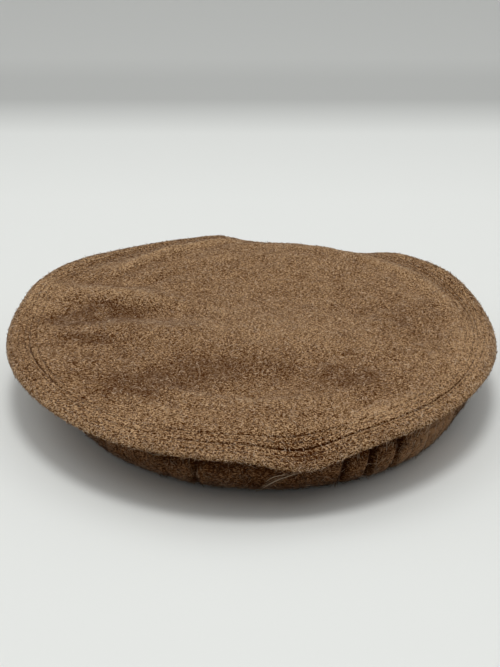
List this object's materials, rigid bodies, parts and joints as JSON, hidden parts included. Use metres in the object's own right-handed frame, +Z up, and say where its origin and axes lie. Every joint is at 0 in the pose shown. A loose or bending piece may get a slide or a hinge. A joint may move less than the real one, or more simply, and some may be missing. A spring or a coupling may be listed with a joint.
{
  "type": "pakol hat",
  "caption": "Soft round wool hat: a wide flat crown with a stitched double rim over a thick rolled band, open below for the head.",
  "frame": {"origin": "on the surface the hat rests on, under the middle of the crown", "axes": "+Z up through the crown, -Y towards the front of the hat as pictured, +X to its right"},
  "size_m": [0.268, 0.268, 0.0425],
  "materials": {
    "crown_wool": "fulled flecked wool, brown and tan",
    "under_wool": "fulled flecked wool, brown",
    "band_wool": "fulled flecked wool, brown"
  },
  "bodies": {
    "root": {"crown_top": "crown_wool", "under_rim": "under_wool", "rolled_side": "band_wool"}
  },
  "joints": []
}
